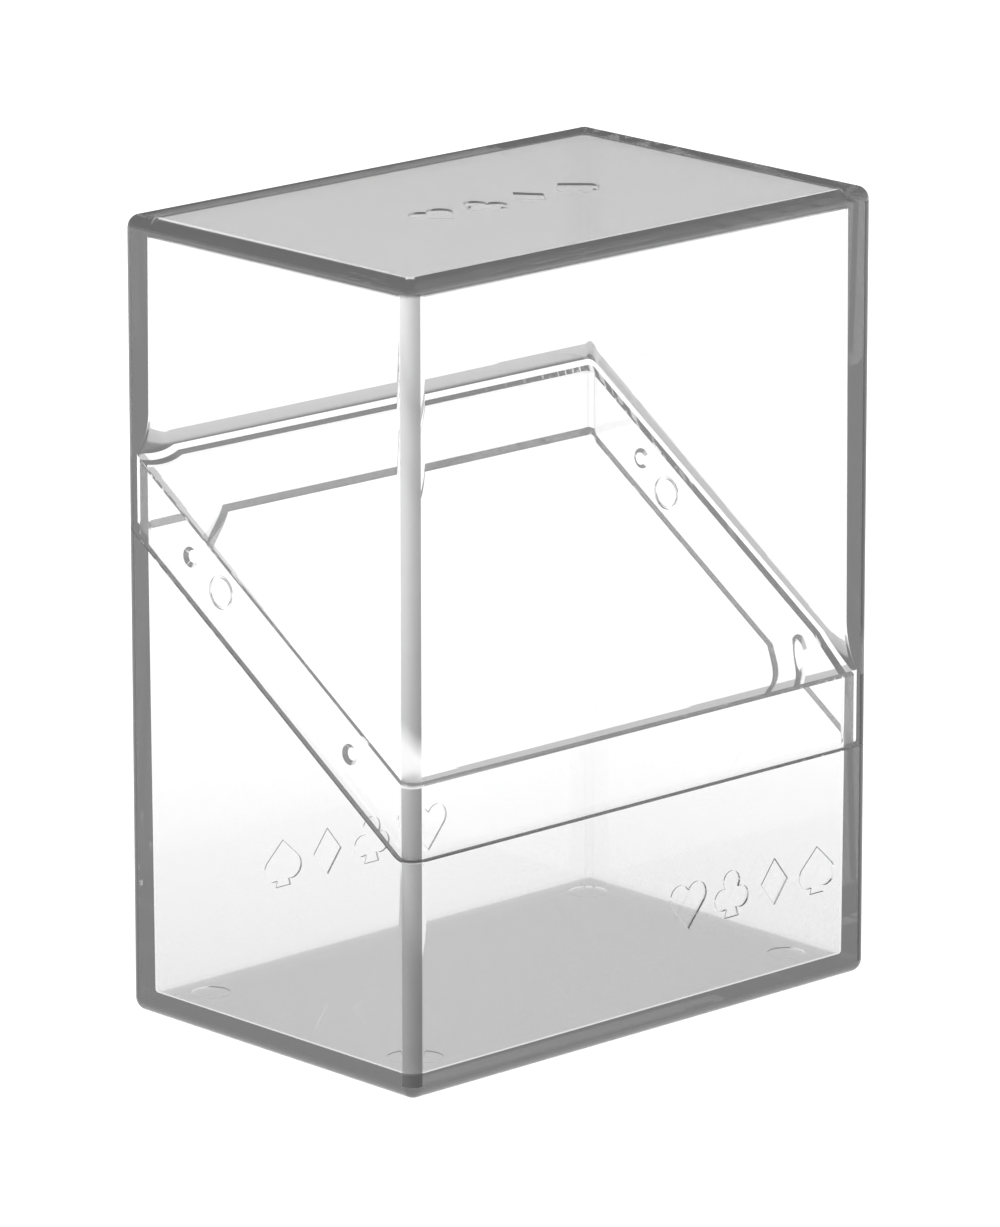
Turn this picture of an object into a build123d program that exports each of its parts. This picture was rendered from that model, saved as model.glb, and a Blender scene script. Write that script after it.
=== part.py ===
from build123d import *
import os
from math import atan, cos, degrees, radians, sin, sqrt, tan

# Clear two-piece card deck box.  A base and a lift-off lid meet along a seam that is level on
# the front, slants up both narrow sides and is level again on the back.  A thin collar on the
# base stands inside the skirt of the lid.  Millimetres, +Z up, the origin at the middle of the
# bottom face, the wide front face towards -Y and the narrow sides towards -X and +X.

# Driving dimensions
width = 77.0                # X, the wide faces
depth = 51.0                # Y, the narrow sides
height = 100.0              # Z, lid closed
edge_radius = 1.7           # every outer edge
end_wall = 2.8              # wall thickness at the floor and at the ceiling
draft = 0.3                 # degrees, the walls thin from each closed end towards the seam
floor_thickness = 2.6
ceiling_thickness = 2.3
inner_corner_radius = 0.95

seam_front = 29.5           # height of the seam on the front face
seam_back = 61.5            # and on the back face
seam_bend_inset = 2.4       # the slanted stretch starts this far behind the front face
seam_angle = 33.65          # slope of the seam on the narrow sides, in degrees
seam_bend_radius = 3.0
seam_gap = 0.1              # between the lid's skirt and the shoulder of the base
seam_bevel = 0.06

collar_height = 9.1         # straight up from the seam
skirt_thickness = 1.3       # lower rim of the lid, outside the collar
collar_gap = 0.15           # all round, between the collar and the skirt
skirt_corner_radius = 0.9   # inner corner of the skirt
collar_clearance = 0.5      # between the top of the collar and the start of the ramp
ramp_length = 5.3           # lead-in ramp above the collar, square to the seam

detent_radius = 1.3         # round pocket in the outer face of the collar
detent_floor_radius = 0.8   # its sides slope in to this
detent_depth = 0.45
detent_rise = 4.9           # centre of a pocket above the seam
detent_stations = (-13.9, 14.4)     # Y of the two pockets on each narrow side
ring_radius = 2.1           # ejector-pin mark, a fine round groove on the inner face of the collar
ring_width = 0.3
ring_depth = 0.3
ring_station = 9.4          # Y of the mark
ring_drop = 0.2             # its centre lies this much lower than the pockets'
pin_mark_radius = 2.4       # ejector-pin marks on the floor
pin_mark_depth = 0.15
pin_mark_inset = 5.0        # from the inner walls

suit_depth = 0.3            # recessed card suits, generic decoration
top_suit_size = 6.0         # row of four across the middle of the lid's top
top_suit_pitch = 7.6
top_suit_y = -1.0
face_suit_size = 6.0        # row of four low on the front face and on the back face
face_suit_pitch = 7.4
front_suit_x = 18.5         # middle of the row
front_suit_z = 15.0
back_suit_x = -2.0
back_suit_z = 14.0

half_width = width / 2
half_depth = depth / 2
outside = 10.0              # how far a cutting solid runs past the box
upright = 0.9               # an edge that rises by more than this share of its length is upright
slope = tan(radians(seam_angle))


def seam_height(y):
    """Height of the seam over a station along the depth, without the rounding at its bends."""
    rise = (y + half_depth - seam_bend_inset) * slope
    return min(max(seam_front + rise, seam_front), seam_back)


def lid_wall(z):
    """Thickness of the lid's walls at a height: they thin downwards from the ceiling."""
    return end_wall - (height - ceiling_thickness - z) * tan(radians(draft))


bend_front = -half_depth + seam_bend_inset
bend_back = bend_front + (seam_back - seam_front) / slope


def below_seam(rise):
    """Solid of everything below the seam raised by a given height, over the whole width."""
    bottom = -outside
    with BuildPart() as lower:
        with BuildSketch(Plane.YZ.offset(-half_width - outside)):
            with BuildLine():
                edge = FilletPolyline(
                    (-half_depth - outside, seam_front + rise),
                    (bend_front, seam_front + rise),
                    (bend_back, seam_back + rise),
                    (half_depth + outside, seam_back + rise),
                    radius=seam_bend_radius,
                )
                Polyline(edge @ 1, (half_depth + outside, bottom), (-half_depth - outside, bottom), edge @ 0)
            make_face()
        extrude(amount=width + 2 * outside)
    return lower.part


def seam_rim(shell):
    """Edges all along a shell's seam, without the upright ones that run into it."""
    near = shell.edges().filter_by(lambda e: seam_front - 1 < e.center().Z < seam_back + 1)
    return near.filter_by(lambda e: e.geom_type != GeomType.LINE or abs((e % 0.5).Z) < upright)


def cavity_outline(plane, inset, corner):
    """Rounded rectangle that follows the box at a given inset."""
    with BuildSketch(plane) as outline:
        RectangleRounded(width - 2 * inset, depth - 2 * inset, corner)
    return outline.sketch


def suit_lobes(size, centre_x, centre_y, tip_y):
    """Two round lobes drawn together to a point on the middle line: a heart, or a spade upside down."""
    radius = 0.27 * size
    reach = sqrt(centre_x ** 2 + (tip_y - centre_y) ** 2)
    touch = radius ** 2 / reach
    across = radius * sqrt(1 - (radius / reach) ** 2)
    along_x, along_y = -centre_x / reach, (tip_y - centre_y) / reach
    turn = 1 if tip_y < centre_y else -1
    touch_x = centre_x + along_x * touch - turn * along_y * across
    touch_y = centre_y + along_y * touch + turn * along_x * across
    with Locations((-centre_x, centre_y), (centre_x, centre_y)):
        Circle(radius)
    Polygon((0, tip_y), (touch_x, touch_y), (centre_x, centre_y), (-centre_x, centre_y),
            (-touch_x, touch_y), align=None)


def suit_stem(size):
    Polygon((-0.2 * size, -0.5 * size), (0.2 * size, -0.5 * size), (0.05 * size, 0), (-0.05 * size, 0),
            align=None)


def suit_row(plane, size, pitch):
    """A heart, a club, a diamond and a spade side by side on a plane."""
    with BuildSketch(plane) as row:
        for place, suit in enumerate(("heart", "club", "diamond", "spade")):
            with BuildSketch(mode=Mode.PRIVATE) as one:
                if suit == "heart":
                    suit_lobes(size, 0.24 * size, 0.2 * size, -0.5 * size)
                elif suit == "spade":
                    suit_lobes(size, 0.24 * size, -0.1 * size, 0.5 * size)
                    suit_stem(size)
                elif suit == "club":
                    with Locations((0, 0.26 * size), (-0.25 * size, -0.1 * size), (0.25 * size, -0.1 * size)):
                        Circle(0.23 * size)
                    suit_stem(size)
                else:
                    half = 0.5 * size
                    Polygon((0, -half), (0.76 * half, 0), (0, half), (-0.76 * half, 0), align=None)
            add(Pos((place - 1.5) * pitch, 0) * one.sketch)
    return row.sketch


top = Plane(origin=(0, top_suit_y, height), x_dir=(1, 0, 0), z_dir=(0, 0, 1))
front = Plane(origin=(front_suit_x, -half_depth, front_suit_z), x_dir=(1, 0, 0), z_dir=(0, -1, 0))
back = Plane(origin=(back_suit_x, half_depth, back_suit_z), x_dir=(-1, 0, 0), z_dir=(0, 1, 0))
front_suits = suit_row(front, face_suit_size, face_suit_pitch)
back_suits = suit_row(back, face_suit_size, face_suit_pitch)
top_suits = suit_row(top, top_suit_size, top_suit_pitch)

# Outer block, shared by both halves
with BuildPart() as block:
    with BuildSketch():
        RectangleRounded(width, depth, edge_radius)
    extrude(amount=height)
    fillet(block.faces().filter_by(Axis.Z).edges(), radius=edge_radius)

collar_inset = skirt_thickness + collar_gap

# Base: floor, walls up to the seam, and the collar inside the skirt of the lid
with BuildPart() as collar_block:
    add(cavity_outline(Plane.XY.offset(floor_thickness), collar_inset, skirt_corner_radius - collar_gap))
    extrude(amount=height)
    add(below_seam(collar_height), mode=Mode.INTERSECT)

with BuildPart() as base:
    add(block.part)
    add(below_seam(0), mode=Mode.INTERSECT)
    chamfer(seam_rim(base), length=seam_bevel)
    add(collar_block.part)
    add(cavity_outline(Plane.XY.offset(floor_thickness), end_wall, inner_corner_radius))
    extrude(amount=height, taper=-draft, mode=Mode.SUBTRACT)
    pocket_slope = degrees(atan((detent_radius - detent_floor_radius) / detent_depth))
    for side in (-1, 1):
        # detent pockets in the outer face of the collar, one pair on each narrow side
        for station in detent_stations:
            middle = (side * (half_width - collar_inset), station, seam_height(station) + detent_rise)
            with BuildSketch(Plane(origin=middle, x_dir=(0, 1, 0), z_dir=(-side, 0, 0))):
                Circle(detent_radius)
            extrude(amount=detent_depth, taper=pocket_slope, mode=Mode.SUBTRACT)
        # ejector-pin mark on the inner face of the collar
        mark_height = seam_height(ring_station) + detent_rise - ring_drop
        inner_face = half_width - end_wall + (mark_height - floor_thickness) * tan(radians(draft))
        middle = (side * (inner_face - ring_depth), ring_station, mark_height)
        with BuildSketch(Plane(origin=middle, x_dir=(0, 1, 0), z_dir=(side, 0, 0))):
            Circle(ring_radius)
            Circle(ring_radius - ring_width, mode=Mode.SUBTRACT)
        extrude(amount=2 * ring_depth, mode=Mode.SUBTRACT)
    # ejector-pin marks near the corners of the floor
    with BuildSketch(Plane.XY.offset(floor_thickness - pin_mark_depth)):
        with GridLocations(
            width - 2 * (end_wall + pin_mark_inset), depth - 2 * (end_wall + pin_mark_inset), 2, 2
        ):
            Circle(pin_mark_radius)
    extrude(amount=2 * pin_mark_depth, mode=Mode.SUBTRACT)
    # card suits in the front and back faces
    for suit in front_suits.faces() + back_suits.faces():
        extrude(suit, amount=-suit_depth, mode=Mode.SUBTRACT)
base.part.label = "base"

# Hollow at the foot of the lid: the skirt's rebate with the lead-in ramp above it
collar_top_front = seam_front + collar_height + collar_clearance
collar_top_back = seam_back + collar_height + collar_clearance
front_wall = lid_wall(collar_top_front + ramp_length)
back_wall = lid_wall(collar_top_back + ramp_length)
slant = radians(seam_angle)


def ramp_arc(foot, head):
    """Arc from the foot of the ramp up to its head, upright where it meets the full wall."""
    return TangentArc(head, foot, tangent=(0, -1))


with BuildPart() as rebate:
    # section through the front and back walls
    with BuildSketch(Plane.YZ.offset(-half_width)):
        with BuildLine():
            front_foot = (-half_depth + skirt_thickness, collar_top_front)
            front_head = (-half_depth + front_wall, collar_top_front + ramp_length)
            back_foot = (half_depth - skirt_thickness, collar_top_back)
            back_head = (half_depth - back_wall, collar_top_back + ramp_length)
            ramp_arc(front_foot, front_head)
            Polyline(
                front_head, (front_head[0], height - outside), (back_head[0], height - outside), back_head
            )
            ramp_arc(back_foot, back_head)
            Polyline(back_foot, (back_foot[0], 0), (front_foot[0], 0), front_foot)
        make_face()
    extrude(amount=width)

with BuildPart() as side_rebate:
    # sections square to the slanted stretch, one beyond each end of the box; the head of each ramp
    # meets the full wall, which is thicker towards the back because the ramp is higher there
    foot_height = (collar_height + collar_clearance) * cos(slant)
    head_height = foot_height + ramp_length
    foot = half_width - skirt_thickness
    for station in (-half_depth - outside, half_depth + outside):
        seam_line = seam_front + (station - bend_front) * slope
        origin = (0, station, seam_line)
        with BuildSketch(Plane(origin=origin, x_dir=(1, 0, 0), z_dir=(0, -cos(slant), -sin(slant)))):
            with BuildLine():
                head = half_width - lid_wall(seam_line + head_height * cos(slant))
                ramp_arc((-foot, foot_height), (-head, head_height))
                Line((-head, head_height), (head, head_height))
                ramp_arc((foot, foot_height), (head, head_height))
                Polyline((foot, foot_height), (foot, -outside), (-foot, -outside), (-foot, foot_height))
            make_face()
    loft(ruled=True)

with BuildPart() as foot_hollow:
    add(cavity_outline(Plane.XY, skirt_thickness, skirt_corner_radius))
    extrude(amount=height - outside)
    add(rebate.part, mode=Mode.INTERSECT)
    add(side_rebate.part, mode=Mode.INTERSECT)

# Lid: closed top, walls down to the seam, skirt outside the collar
with BuildPart() as lid:
    add(block.part)
    add(below_seam(seam_gap), mode=Mode.SUBTRACT)
    chamfer(seam_rim(lid), length=seam_bevel)
    add(cavity_outline(Plane.XY.offset(height - ceiling_thickness), end_wall, inner_corner_radius))
    extrude(amount=-height, taper=-draft, mode=Mode.SUBTRACT)
    add(foot_hollow.part, mode=Mode.SUBTRACT)
    # card suits in the top
    for suit in top_suits.faces():
        extrude(suit, amount=-suit_depth, mode=Mode.SUBTRACT)
lid.part.label = "lid"

os.makedirs("parts", exist_ok=True)
for piece in (base.part, lid.part):
    export_step(piece, f"parts/{piece.label}.step")
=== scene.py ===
"""Clear two-piece card deck box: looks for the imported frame.

The two shells are meshed here from the box's own dimensions, finer than the CAD faces, so that
light bends through smooth fillets, ramps and walls.  Metres throughout.
"""
from math import atan, cos, pi, radians, sin, sqrt, tan

import bmesh
import bpy
from mathutils import Matrix, Vector


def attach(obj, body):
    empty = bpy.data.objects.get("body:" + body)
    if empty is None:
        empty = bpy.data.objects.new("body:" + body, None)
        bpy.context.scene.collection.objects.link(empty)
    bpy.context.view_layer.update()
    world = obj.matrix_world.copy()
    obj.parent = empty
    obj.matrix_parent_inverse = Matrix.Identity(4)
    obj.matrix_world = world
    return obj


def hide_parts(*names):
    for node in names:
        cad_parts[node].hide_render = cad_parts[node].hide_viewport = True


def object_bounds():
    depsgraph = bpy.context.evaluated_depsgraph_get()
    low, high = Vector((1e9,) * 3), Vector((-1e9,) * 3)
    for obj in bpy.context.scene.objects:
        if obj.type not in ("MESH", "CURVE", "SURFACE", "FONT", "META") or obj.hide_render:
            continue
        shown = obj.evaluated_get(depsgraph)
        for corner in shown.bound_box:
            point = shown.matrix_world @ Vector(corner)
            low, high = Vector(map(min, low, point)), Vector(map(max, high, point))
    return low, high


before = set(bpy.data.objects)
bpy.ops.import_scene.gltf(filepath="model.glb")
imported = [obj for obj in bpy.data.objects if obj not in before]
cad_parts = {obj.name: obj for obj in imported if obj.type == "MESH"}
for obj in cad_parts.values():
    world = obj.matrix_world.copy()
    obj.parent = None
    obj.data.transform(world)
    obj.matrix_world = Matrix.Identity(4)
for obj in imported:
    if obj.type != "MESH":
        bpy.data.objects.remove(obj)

cad_low, cad_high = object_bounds()
MM = 0.001

# Overall size, from the frame
HALF_WIDTH = (cad_high[0] - cad_low[0]) / 2
HALF_DEPTH = (cad_high[1] - cad_low[1]) / 2
HEIGHT = cad_high[2] - cad_low[2]

# The shells
EDGE_RADIUS = 1.7 * MM          # every outer edge
END_WALL = 2.8 * MM             # wall at the floor and at the ceiling
DRAFT = radians(0.3)            # the walls thin from each closed end towards the seam
FLOOR = 2.6 * MM
CEILING = 2.3 * MM
INNER_CORNER = 0.95 * MM
INNER_FILLET = 0.4 * MM         # where the walls meet the floor and the ceiling

SEAM_FRONT = 29.5 * MM
SEAM_BACK = 61.5 * MM
SEAM_BEND_INSET = 2.4 * MM      # the slant starts this far behind the front face
SEAM_SLOPE = tan(radians(33.65))
SEAM_BEND_RADIUS = 3.0 * MM
SEAM_GAP = 0.1 * MM
SEAM_BEVEL = 0.06 * MM

COLLAR_HEIGHT = 9.1 * MM
COLLAR_ROUND = 0.15 * MM        # rounding along the collar's top
SKIRT = 1.3 * MM                # thickness of the lid's rim
COLLAR_GAP = 0.15 * MM
SKIRT_CORNER = 0.9 * MM
COLLAR_CLEARANCE = 0.5 * MM
RAMP_LENGTH = 5.3 * MM
RAMP_FOOT = COLLAR_HEIGHT + COLLAR_CLEARANCE

# Moulded details
POCKET_RADIUS = 1.3 * MM        # pockets in the collar, narrowing to their floors
POCKET_FLOOR = 0.8 * MM
POCKET_DEPTH = 0.45 * MM
DETENT_RISE = 4.9 * MM
DETENT_STATIONS = (-13.9 * MM, 14.4 * MM)
RING_RADIUS = 2.1 * MM          # ejector-pin mark, a fine groove inside the collar
RING_WIDTH = 0.3 * MM
RING_DEPTH = 0.3 * MM
RING_STATION = 9.4 * MM
RING_DROP = 0.2 * MM            # its centre lies this much lower than the pockets'
PIN_RADIUS = 2.4 * MM           # ejector-pin marks on the floor
PIN_INSET = 5.0 * MM
MARK_DEPTH = 0.15 * MM

# Card suits sunk into the top, the front and the back
SUIT_DEPTH = 0.3 * MM
SUIT_SIZE = 6.0 * MM
TOP_SUITS = (0.0, -1.0 * MM, 7.6 * MM)              # x and y of the row's middle, pitch
FRONT_SUITS = (18.5 * MM, 15.0 * MM, 7.4 * MM)      # x and z of the row's middle, pitch
BACK_SUITS = (-2.0 * MM, 14.0 * MM, 7.4 * MM)
ARC_DEGREES = 6
ON_AXIS = 0.001                 # a point this near the middle line of a suit is not mirrored
# the right half of each unit-sized outline from the bottom up: points (x, y), and arcs
# (centre x, centre y, radius, first and last angle)
SUIT_HALVES = {
    "heart": ((0, -0.5), (0.24, 0.2, 0.27, -40, 152)),
    "club": ((0.2, -0.5), (0.25, -0.1, 0.23, -118, 107), (0, 0.26, 0.23, -37, 90)),
    "diamond": ((0, -0.5), (0.38, 0), (0, 0.5)),
    "spade": ((0.2, -0.5), (0.24, -0.1, 0.27, -107, 46), (0, 0.5)),
}

# Meshing
ARC_STEPS = 40                  # facets in a quarter turn, each finer than the eye can pick out
RAMP_STEPS = 40
SHOULDER_STEPS = 6              # columns where the seam bends, at each end of a narrow side
SHOULDER_REACH = 3.9 * MM       # how far from the corner those columns run
DISC_STEPS = 72
BITE = 0.3 * MM                 # how far a cutting prism runs past the surface
SETTLE_ROUNDS = 3               # for an inset and a height that depend on each other
FADE_STEPS = 10                 # rows over the stretch where the painted edge shade clears
MERGE_DISTANCE = 1e-7
SLIVER_LENGTH = 1e-8

BEND_FRONT = -HALF_DEPTH + SEAM_BEND_INSET
BEND_BACK = BEND_FRONT + (SEAM_BACK - SEAM_FRONT) / SEAM_SLOPE

# Painted shade in the vertical edges, as a cut in the light they let in
BASE_PAINTED_EDGE_LIGHT = (0.64, 0.68)  # share let in at the bottom of the box, and at its top
LID_PAINTED_EDGE_LIGHT = (0.32, 0.90)
PAINTED_EDGE_LIGHT_TURN = 0.5           # share of it lost round an edge, from narrow side to wide face
EDGE_FADE_START = 7.9 * MM      # above the ramp's foot, where the painted shade starts to clear
EDGE_FADE = 3.0 * MM
EDGE_FADE_TURN = 2.0 * MM       # it clears this much lower on the wide face's side
EDGE_ROUGHNESS = 0.3

# Plastic, floor and sky
REFRACTIVE_INDEX = 1.54
SPECKLE_SCALE = 2600.0          # fine grain of the base
SPECKLE_DETAIL = 2.0
SPECKLE_STRENGTH = 0.18
SPECKLE_FULL, SPECKLE_NONE = 4 * MM, 45 * MM        # heights between which the grain fades out
DENSITY = 50.0                  # light lost inside the plastic, per metre
PAINTED_GLOW_GREY = 0.15                     # painted glow: the grey that a long path fades to
FLOOR_LIGHT = 1.40
FLOOR_RADIUS = 1.6
FLOOR_LEVEL = -0.0002
# painted shadow: the floor's brightness by distance outside the box's footprint
PAINTED_FLOOR_SHADOW = ((-4 * MM, 0.68), (-1 * MM, 0.85), (0.0, 0.86), (96 * MM, 1.0))
# brightness by the upward part of the direction
SKY = ((0.0, 0.66), (0.13, 0.56), (0.18, 0.12), (1.0, 0.15))

# Camera
AZIMUTH, ELEVATION, ROLL = radians(-43.234), radians(14.977), radians(-0.03)
DISTANCE = 1.0845
AIM_RIGHT, AIM_UP = -0.000113, -0.0017217     # shift of the camera across its view
SENSOR, LENS = 36.0, 260.37
LIGHT_BOUNCES = 64              # light turns many times inside the walls


def seam_height(y):
    """Height and slope of the seam at a station along the depth, rounded at both bends."""
    slant = atan(SEAM_SLOPE)
    reach = SEAM_BEND_RADIUS * tan(slant / 2)
    if y <= BEND_FRONT - reach:
        return SEAM_FRONT, 0.0
    if y >= BEND_BACK + reach:
        return SEAM_BACK, 0.0
    along = y - (BEND_FRONT - reach)
    if along < SEAM_BEND_RADIUS * sin(slant):
        drop = sqrt(SEAM_BEND_RADIUS ** 2 - along ** 2)
        return SEAM_FRONT + SEAM_BEND_RADIUS - drop, along / drop
    along = BEND_BACK + reach - y
    if along < SEAM_BEND_RADIUS * sin(slant):
        drop = sqrt(SEAM_BEND_RADIUS ** 2 - along ** 2)
        return SEAM_BACK - SEAM_BEND_RADIUS + drop, along / drop
    return SEAM_FRONT + (y - BEND_FRONT) * SEAM_SLOPE, SEAM_SLOPE


def base_wall(z):
    return END_WALL - (z - FLOOR) * tan(DRAFT)


def lid_wall(z):
    return END_WALL - (HEIGHT - CEILING - z) * tan(DRAFT)


def stations():
    """The columns of points round a rounded rectangle: on a corner arc, (x sign, y sign, angle),
    or on a narrow side, where the seam bends, (x sign, y sign, share of the way inwards)."""
    columns = []
    for sx, sy, start in ((1, 1, 0), (-1, 1, 90), (-1, -1, 180), (1, -1, 270)):
        for step in range(ARC_STEPS + 1):
            columns.append(("arc", sx, sy, radians(start + 90 * step / ARC_STEPS)))
        if sx != sy:
            # the arcs at (-1, +1) and (+1, -1) are followed by a narrow side
            for step in range(1, SHOULDER_STEPS + 1):
                columns.append(("side", sx, sy, step / SHOULDER_STEPS))
            for step in range(SHOULDER_STEPS, 0, -1):
                columns.append(("side", sx, -sy, step / SHOULDER_STEPS))
    return columns


STATIONS = stations()


def place(station, inset, corner):
    """A station's point in plan, at an inset from the outer face with a given corner radius."""
    kind, sx, sy, value = station
    centre_x = HALF_WIDTH - inset - corner
    centre_y = HALF_DEPTH - inset - corner
    if kind == "arc":
        return sx * centre_x + corner * cos(value), sy * centre_y + corner * sin(value)
    inner_y = HALF_DEPTH - SHOULDER_REACH
    return sx * (HALF_WIDTH - inset), sy * (centre_y + (inner_y - centre_y) * value)


def ring(inset, corner, height):
    """One closed loop of points.  inset may be a function of the height, and height a function of
    the seam's height and slope under the point."""
    points = []
    for station in STATIONS:
        depth = 0.0 if callable(inset) else inset
        for _ in range(SETTLE_ROUNDS):
            x, y = place(station, depth, corner)
            seam, slope = seam_height(y)
            z = height(seam, slope) if callable(height) else height
            depth = inset(z) if callable(inset) else inset
        points.append((x, y, z))
    return points


def over_seam(above):
    return lambda seam, slope: seam + above


def painted_edge_light(point, normal, low, high):
    """Painted shade on a rounded vertical edge, as the share of light it lets in: less low down,
    less towards the wide faces, and all of it where the lid's wall thins over the collar."""
    above = point.z - seam_height(point.y)[0]
    turn = normal.y ** 2
    light = low + (high - low) * point.z / HEIGHT
    light *= 1 - PAINTED_EDGE_LIGHT_TURN * turn
    if above > COLLAR_HEIGHT + SEAM_GAP / 2:
        start = RAMP_FOOT + EDGE_FADE_START - EDGE_FADE_TURN * turn
        clear = min(max((start - above) / EDGE_FADE, 0.0), 1.0)
        light += (1 - light) * clear
    return light


def finished(name, mesh):
    data = bpy.data.meshes.new(name)
    mesh.to_mesh(data)
    mesh.free()
    piece = bpy.data.objects.new(name, data)
    bpy.context.scene.collection.objects.link(piece)
    return piece


def shell(name, rings, edge_rows, edge_range):
    """Closed mesh through the rings, capped at both ends.  edge_rows are the rows of faces on the
    outer walls.  Each face corner holds painted shade, as a tint for the light let in there, and in
    alpha whether it is on a rounded vertical edge."""
    mesh = bmesh.new()
    rows = [[mesh.verts.new(point) for point in points] for points in rings]
    count = len(STATIONS)
    shade = mesh.loops.layers.float_color.new("painted_edge_light")
    on_edge = mesh.faces.layers.int.new("on_edge")
    for r in range(len(rows) - 1):
        for i in range(count):
            j = (i + 1) % count
            face = mesh.faces.new((rows[r][i], rows[r][j], rows[r + 1][j], rows[r + 1][i]))
            (kind, *corner, _), (next_kind, *next_corner, _) = STATIONS[i], STATIONS[j]
            same_arc = kind == next_kind == "arc" and corner == next_corner
            face[on_edge] = int(same_arc and r in edge_rows)
    mesh.faces.new(list(reversed(rows[0])))
    mesh.faces.new(rows[-1])
    bmesh.ops.remove_doubles(mesh, verts=mesh.verts, dist=MERGE_DISTANCE)
    bmesh.ops.dissolve_degenerate(mesh, edges=mesh.edges, dist=SLIVER_LENGTH)
    bmesh.ops.recalc_face_normals(mesh, faces=mesh.faces)
    for face in mesh.faces:
        for loop in face.loops:
            tint = 1.0
            if face[on_edge]:
                # painted shade, squared because the shader tints bent light by the root of its base
                # colour
                tint = painted_edge_light(loop.vert.co, face.normal, *edge_range) ** 2
            loop[shade] = (tint, tint, tint, float(face[on_edge]))
    return finished(name, mesh)


def edge_fillet(level, inwards):
    """Rings over the outer fillet at the bottom (inwards +1) or the top (-1) of the block."""
    rings = []
    for step in range(ARC_STEPS + 1):
        angle = radians(90 * step / ARC_STEPS)
        corner = EDGE_RADIUS * sin(angle)
        fall = EDGE_RADIUS * (1 - cos(angle))
        rings.append(ring(EDGE_RADIUS - corner, corner, level + inwards * fall))
    return rings


def inner_fillet(wall, level, inwards):
    """Rings from a wall onto the floor (inwards +1) or the ceiling (-1)."""
    rings = []
    steps = ARC_STEPS // 2
    for step in range(steps + 1):
        angle = radians(90 * step / steps)
        shift = INNER_FILLET * (1 - cos(angle))
        height = level + inwards * INNER_FILLET * (1 - sin(angle))
        rings.append(ring(wall + shift, INNER_CORNER - shift, height))
    return rings


def lid_shell():
    rings = edge_fillet(HEIGHT, -1)
    wall_top = len(rings) - 1
    fade_end = RAMP_FOOT + EDGE_FADE_START - EDGE_FADE - EDGE_FADE_TURN
    fade_top = RAMP_FOOT + EDGE_FADE_START
    # rows where the painted edge shade clears
    for step in range(FADE_STEPS + 1):
        above = fade_top + (fade_end - fade_top) * step / FADE_STEPS
        rings.append(ring(0, EDGE_RADIUS, over_seam(above)))
    for above in (COLLAR_HEIGHT + SEAM_GAP, COLLAR_HEIGHT, SEAM_GAP + SEAM_BEVEL):
        rings.append(ring(0, EDGE_RADIUS, over_seam(above)))
    edge_rows = range(wall_top, len(rings) - 1)
    rings += [
        ring(SEAM_BEVEL, EDGE_RADIUS - SEAM_BEVEL, over_seam(SEAM_GAP)),
        ring(SKIRT, SKIRT_CORNER, over_seam(SEAM_GAP)),
        ring(SKIRT, SKIRT_CORNER, over_seam(RAMP_FOOT)),
    ]
    for step in range(1, RAMP_STEPS + 1):
        share = step / RAMP_STEPS

        def climb(seam, slope, share=share):
            return seam + RAMP_FOOT + RAMP_LENGTH * share * sqrt(1 + slope ** 2)

        def thickness(z, share=share):
            # circular arc, upright where it meets the full wall
            left = RAMP_LENGTH * (1 - share)
            full = lid_wall(z + left)
            step_in = full - SKIRT
            radius = (RAMP_LENGTH ** 2 + step_in ** 2) / (2 * step_in)
            return full - (radius - sqrt(radius ** 2 - left ** 2))

        rings.append(ring(thickness, SKIRT_CORNER + (INNER_CORNER - SKIRT_CORNER) * share, climb))
    ceiling = HEIGHT - CEILING
    rings += inner_fillet(lid_wall(ceiling - INNER_FILLET), ceiling, -1)
    return shell("lid_shell", rings, edge_rows, LID_PAINTED_EDGE_LIGHT)


def base_shell():
    inset = SKIRT + COLLAR_GAP
    corner = SKIRT_CORNER - COLLAR_GAP
    collar_side = over_seam(COLLAR_HEIGHT - COLLAR_ROUND)
    collar_top = over_seam(COLLAR_HEIGHT)
    rings = edge_fillet(0.0, 1)
    edge_rows = range(len(rings) - 1, len(rings))
    rings += [
        ring(0, EDGE_RADIUS, over_seam(-SEAM_BEVEL)),
        ring(SEAM_BEVEL, EDGE_RADIUS - SEAM_BEVEL, over_seam(0)),
        ring(inset, corner, over_seam(0)),
        ring(inset, corner, collar_side),
        ring(inset + COLLAR_ROUND, corner - COLLAR_ROUND, collar_top),
        ring(lambda z: base_wall(z) - COLLAR_ROUND, INNER_CORNER + COLLAR_ROUND, collar_top),
        ring(base_wall, INNER_CORNER, collar_side),
    ]
    rings += inner_fillet(base_wall(FLOOR + INNER_FILLET), FLOOR, 1)
    return shell("base_shell", rings, edge_rows, BASE_PAINTED_EDGE_LIGHT)


# Moulded details, as prisms cut from a shell

def disc(radius):
    return [(radius * cos(2 * pi * i / DISC_STEPS), radius * sin(2 * pi * i / DISC_STEPS))
            for i in range(DISC_STEPS)]


def suit_outline(suit):
    right = []
    for part in SUIT_HALVES[suit]:
        if len(part) == 2:
            right.append(part)
            continue
        x, y, radius, first, last = part
        steps = round((last - first) / ARC_DEGREES)
        for step in range(steps + 1):
            angle = radians(first + (last - first) * step / steps)
            right.append((x + radius * cos(angle), y + radius * sin(angle)))
    left = [(-x, y) for x, y in reversed(right) if x > ON_AXIS]
    return [(x * SUIT_SIZE, y * SUIT_SIZE) for x, y in right + left]


def prism(outline, origin, across, up, depth, hole=(), taper=1.0):
    """An outline in the plane of across and up, with an optional hole of as many points, pushed
    from origin along depth and scaled to taper of its size at the far end."""
    origin, across, up, depth = (Vector(v) for v in (origin, across, up, depth))
    loops = []
    for loop in (outline, hole):
        foot = [origin + across * u + up * v for u, v in loop]
        head = [origin + depth + (across * u + up * v) * taper for u, v in loop]
        loops.append((foot, head))
    return loops


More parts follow.
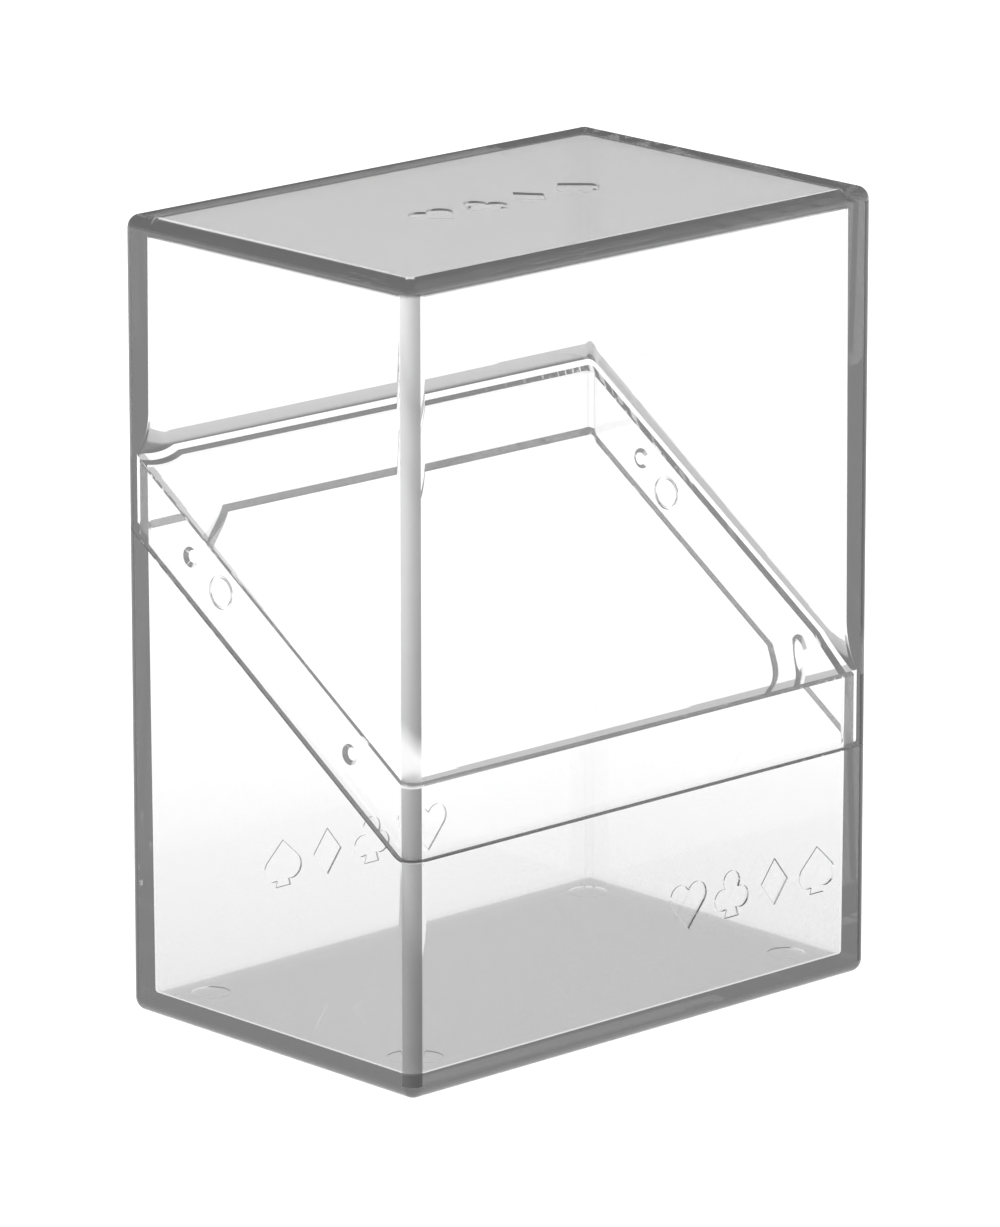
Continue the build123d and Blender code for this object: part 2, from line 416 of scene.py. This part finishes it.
def carve(piece, prisms):
    """Cut prisms from a shell and keep the result as its mesh."""
    mesh = bmesh.new()
    shade = mesh.loops.layers.float_color.new("painted_edge_light")
    for outer, hole in prisms:
        # the outline's foot and head, then the hole's
        rows = [[mesh.verts.new(point) for point in row] for row in outer + hole]
        count = len(rows[0])
        bands = [(0, 1)] if not rows[2] else [(0, 1), (1, 3), (3, 2), (2, 0)]
        for a, b in bands:
            for i in range(count):
                j = (i + 1) % count
                mesh.faces.new((rows[a][i], rows[a][j], rows[b][j], rows[b][i]))
        if not rows[2]:
            mesh.faces.new(list(reversed(rows[0])))
            mesh.faces.new(rows[1])
    bmesh.ops.recalc_face_normals(mesh, faces=mesh.faces)
    for face in mesh.faces:
        for loop in face.loops:
            loop[shade] = (1.0, 1.0, 1.0, 0.0)
    tool = finished("tool", mesh)
    modifier = piece.modifiers.new("carve", "BOOLEAN")
    modifier.operation = "DIFFERENCE"
    modifier.solver = "EXACT"
    modifier.object = tool
    graph = bpy.context.evaluated_depsgraph_get()
    result = bpy.data.meshes.new_from_object(
        piece.evaluated_get(graph), preserve_all_data_layers=True, depsgraph=graph)
    piece.modifiers.clear()
    spare = piece.data
    piece.data = result
    bpy.data.meshes.remove(spare)
    bpy.data.objects.remove(tool)


def suit_row(middle, across, up, outwards, pitch):
    """Prisms for a heart, a club, a diamond and a spade, from their floors out of the face."""
    middle, across, outwards = Vector(middle), Vector(across), Vector(outwards)
    return [
        prism(suit_outline(suit), middle + across * (order - 1.5) * pitch - outwards * SUIT_DEPTH,
              across, up, outwards * (SUIT_DEPTH + BITE))
        for order, suit in enumerate(SUIT_HALVES)
    ]


def on_side(side, inset, station, rise, outline, depth, **shape):
    """Prism square to a narrow side, a given rise above the seam; depth is towards the middle."""
    origin = (side * (HALF_WIDTH - inset), station, seam_height(station)[0] + rise)
    return prism(outline, origin, (0, 1, 0), (0, 0, 1), (-side * depth, 0, 0), **shape)


def base_piece():
    piece = base_shell()
    cuts = []
    for side in (-1, 1):
        for station in DETENT_STATIONS:
            # runs from the middle of the gap, a little wider than the pocket there
            lead = COLLAR_GAP / 2
            mouth = POCKET_RADIUS + (POCKET_RADIUS - POCKET_FLOOR) / POCKET_DEPTH * lead
            cuts.append(on_side(side, SKIRT + COLLAR_GAP - lead, station, DETENT_RISE, disc(mouth),
                                POCKET_DEPTH + lead, taper=POCKET_FLOOR / mouth))
        rise = DETENT_RISE - RING_DROP
        inner = base_wall(seam_height(RING_STATION)[0] + rise)
        cuts.append(on_side(side, inner - RING_DEPTH, RING_STATION, rise, disc(RING_RADIUS),
                            RING_DEPTH + BITE, hole=disc(RING_RADIUS - RING_WIDTH)))
    for sx in (-1, 1):
        for sy in (-1, 1):
            inset = END_WALL + PIN_INSET
            origin = (sx * (HALF_WIDTH - inset), sy * (HALF_DEPTH - inset), FLOOR - MARK_DEPTH)
            cuts.append(prism(disc(PIN_RADIUS), origin, (1, 0, 0), (0, 1, 0), (0, 0, BITE)))
    x, z, pitch = FRONT_SUITS
    cuts += suit_row((x, -HALF_DEPTH, z), (1, 0, 0), (0, 0, 1), (0, -1, 0), pitch)
    x, z, pitch = BACK_SUITS
    cuts += suit_row((x, HALF_DEPTH, z), (-1, 0, 0), (0, 0, 1), (0, 1, 0), pitch)
    carve(piece, cuts)
    return piece


def lid_piece():
    piece = lid_shell()
    x, y, pitch = TOP_SUITS
    carve(piece, suit_row((x, y, HEIGHT), (1, 0, 0), (0, 1, 0), (0, 0, 1), pitch))
    return piece


# Materials

def math_node(nodes, links, operation, *values):
    node = nodes.new("ShaderNodeMath")
    node.operation = operation
    for socket, value in zip(node.inputs, values):
        if isinstance(value, (int, float)):
            socket.default_value = value
        else:
            links.new(value, socket)
    return node.outputs[0]


def fill_ramp(ramp, levels, low, high):
    """Set a colour ramp from (value, grey) pairs over the range from low to high."""
    elements = ramp.color_ramp.elements
    while len(elements) < len(levels):
        elements.new(0.5)
    for element, (value, grey) in zip(elements, levels):
        element.position = (value - low) / (high - low)
        element.color = (grey, grey, grey, 1.0)


def clear_plastic(name, grain):
    """Clear moulded plastic.  Light that runs a long way inside the walls is absorbed, and a
    painted glow inside the plastic holds it at an even grey.  The rounded vertical edges are a
    little matt, and carry painted shade that cuts the light let in from outside.  grain is the
    strength of a fine speckle that grows towards the foot of the box."""
    material = bpy.data.materials.new(name)
    material.use_nodes = True
    nodes, links = material.node_tree.nodes, material.node_tree.links
    shader = nodes["Principled BSDF"]
    shader.inputs["IOR"].default_value = REFRACTIVE_INDEX
    shader.inputs["Transmission Weight"].default_value = 1.0

    # painted shade on the rounded vertical edges, from the mesh; its alpha marks those edges
    edge = nodes.new("ShaderNodeAttribute")
    edge.attribute_name = "painted_edge_light"
    side = nodes.new("ShaderNodeNewGeometry")
    outer = math_node(nodes, links, "SUBTRACT", 1.0, side.outputs["Backfacing"])
    matt = math_node(nodes, links, "MULTIPLY", edge.outputs["Alpha"], outer)
    links.new(math_node(nodes, links, "MULTIPLY", matt, EDGE_ROUGHNESS), shader.inputs["Roughness"])

    position = nodes.new("ShaderNodeTexCoord")
    speckle = nodes.new("ShaderNodeTexNoise")
    speckle.inputs["Scale"].default_value = SPECKLE_SCALE
    speckle.inputs["Detail"].default_value = SPECKLE_DETAIL
    links.new(position.outputs["Object"], speckle.inputs["Vector"])
    split = nodes.new("ShaderNodeSeparateXYZ")
    links.new(position.outputs["Object"], split.inputs["Vector"])
    low_down = nodes.new("ShaderNodeMapRange")
    low_down.inputs["From Min"].default_value = SPECKLE_NONE
    low_down.inputs["From Max"].default_value = SPECKLE_FULL
    links.new(split.outputs["Z"], low_down.inputs["Value"])
    strength = math_node(nodes, links, "MULTIPLY", low_down.outputs["Result"], grain)
    lost = math_node(nodes, links, "MULTIPLY", speckle.outputs["Fac"], strength)
    kept = math_node(nodes, links, "SUBTRACT", 1.0, lost)
    # painted edge shade times the grain; the inner side keeps full light
    painted_edge_light_and_grain = math_node(nodes, links, "MULTIPLY", edge.outputs["Fac"], kept)
    tint = math_node(nodes, links, "MAXIMUM", painted_edge_light_and_grain, side.outputs["Backfacing"])
    links.new(tint, shader.inputs["Base Color"])

    absorb = nodes.new("ShaderNodeVolumeAbsorption")
    absorb.inputs["Color"].default_value = (0.0, 0.0, 0.0, 1.0)
    absorb.inputs["Density"].default_value = DENSITY
    # painted glow: emission inside the plastic holds long paths at an even grey, not dark
    painted_glow = nodes.new("ShaderNodeEmission")
    painted_glow.inputs["Strength"].default_value = DENSITY * PAINTED_GLOW_GREY
    inside = nodes.new("ShaderNodeAddShader")
    links.new(absorb.outputs["Volume"], inside.inputs[0])
    links.new(painted_glow.outputs["Emission"], inside.inputs[1])
    links.new(inside.outputs["Shader"], nodes["Material Output"].inputs["Volume"])
    return material


def pale_floor(name):
    """Plain white glowing floor, with a painted shadow: a little dimmer under the box and close
    round it.
    """
    material = bpy.data.materials.new(name)
    material.use_nodes = True
    nodes, links = material.node_tree.nodes, material.node_tree.links
    nodes.remove(nodes["Principled BSDF"])
    position = nodes.new("ShaderNodeTexCoord")
    split = nodes.new("ShaderNodeSeparateXYZ")
    links.new(position.outputs["Object"], split.inputs["Vector"])
    beyond = []
    for axis, half in (("X", HALF_WIDTH), ("Y", HALF_DEPTH)):
        off_centre = math_node(nodes, links, "ABSOLUTE", split.outputs[axis])
        beyond.append(math_node(nodes, links, "SUBTRACT", off_centre, half))
    outside = math_node(nodes, links, "MAXIMUM", *beyond)
    low, high = PAINTED_FLOOR_SHADOW[0][0], PAINTED_FLOOR_SHADOW[-1][0]
    spread = nodes.new("ShaderNodeMapRange")
    spread.inputs["From Min"].default_value = low
    spread.inputs["From Max"].default_value = high
    links.new(outside, spread.inputs["Value"])
    # painted shadow, dimmer under the box and close round it
    fade = nodes.new("ShaderNodeValToRGB")
    fill_ramp(fade, PAINTED_FLOOR_SHADOW, low, high)
    links.new(spread.outputs["Result"], fade.inputs["Fac"])
    glow = nodes.new("ShaderNodeEmission")
    links.new(fade.outputs["Color"], glow.inputs["Color"])
    glow.inputs["Strength"].default_value = FLOOR_LIGHT
    links.new(glow.outputs["Emission"], nodes["Material Output"].inputs["Surface"])
    return material


# Studio

def floor_disc():
    mesh = bmesh.new()
    mesh.faces.new([mesh.verts.new((x, y, FLOOR_LEVEL)) for x, y in disc(FLOOR_RADIUS)])
    return finished("floor", mesh)


def studio_sky():
    """Plain sky, pale at the horizon and dim overhead."""
    world = bpy.data.worlds.new("studio")
    world.use_nodes = True
    nodes, links = world.node_tree.nodes, world.node_tree.links
    direction = nodes.new("ShaderNodeTexCoord")
    split = nodes.new("ShaderNodeSeparateXYZ")
    sky = nodes.new("ShaderNodeValToRGB")
    fill_ramp(sky, SKY, 0.0, 1.0)
    links.new(direction.outputs["Generated"], split.inputs["Vector"])
    links.new(split.outputs["Z"], sky.inputs["Fac"])
    links.new(sky.outputs["Color"], nodes["Background"].inputs["Color"])
    return world


def viewing_camera():
    """Long lens aimed near the middle of the box."""
    back = Vector((sin(AZIMUTH) * cos(ELEVATION), -cos(AZIMUTH) * cos(ELEVATION), sin(ELEVATION)))
    right = (-back).cross(Vector((0, 0, 1))).normalized()
    up = right.cross(-back)
    turned_right = right * cos(ROLL) + up * sin(ROLL)
    turned_up = up * cos(ROLL) - right * sin(ROLL)
    centre = Vector((0, 0, HEIGHT / 2)) + back * DISTANCE + right * AIM_RIGHT + up * AIM_UP
    lens = bpy.data.cameras.new("camera")
    lens.sensor_width = SENSOR
    lens.lens = LENS
    camera = bpy.data.objects.new("camera", lens)
    rotation = Matrix((turned_right, turned_up, back)).transposed().to_4x4()
    camera.matrix_world = Matrix.Translation(centre) @ rotation
    bpy.context.scene.collection.objects.link(camera)
    return camera


for make, node, grain in ((base_piece, "base", SPECKLE_STRENGTH), (lid_piece, "lid", 0.0)):
    piece = make()
    piece.data.materials.clear()
    piece.data.materials.append(clear_plastic(f"clear_plastic_{node}", grain))
    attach(piece, node)
    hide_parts(node)

floor = floor_disc()
floor.data.materials.append(pale_floor("pale_floor"))

scene = bpy.context.scene
scene.world = studio_sky()
scene.camera = viewing_camera()
scene.view_settings.view_transform = "Standard"
scene.cycles.max_bounces = LIGHT_BOUNCES
scene.cycles.transmission_bounces = LIGHT_BOUNCES
scene.cycles.glossy_bounces = LIGHT_BOUNCES
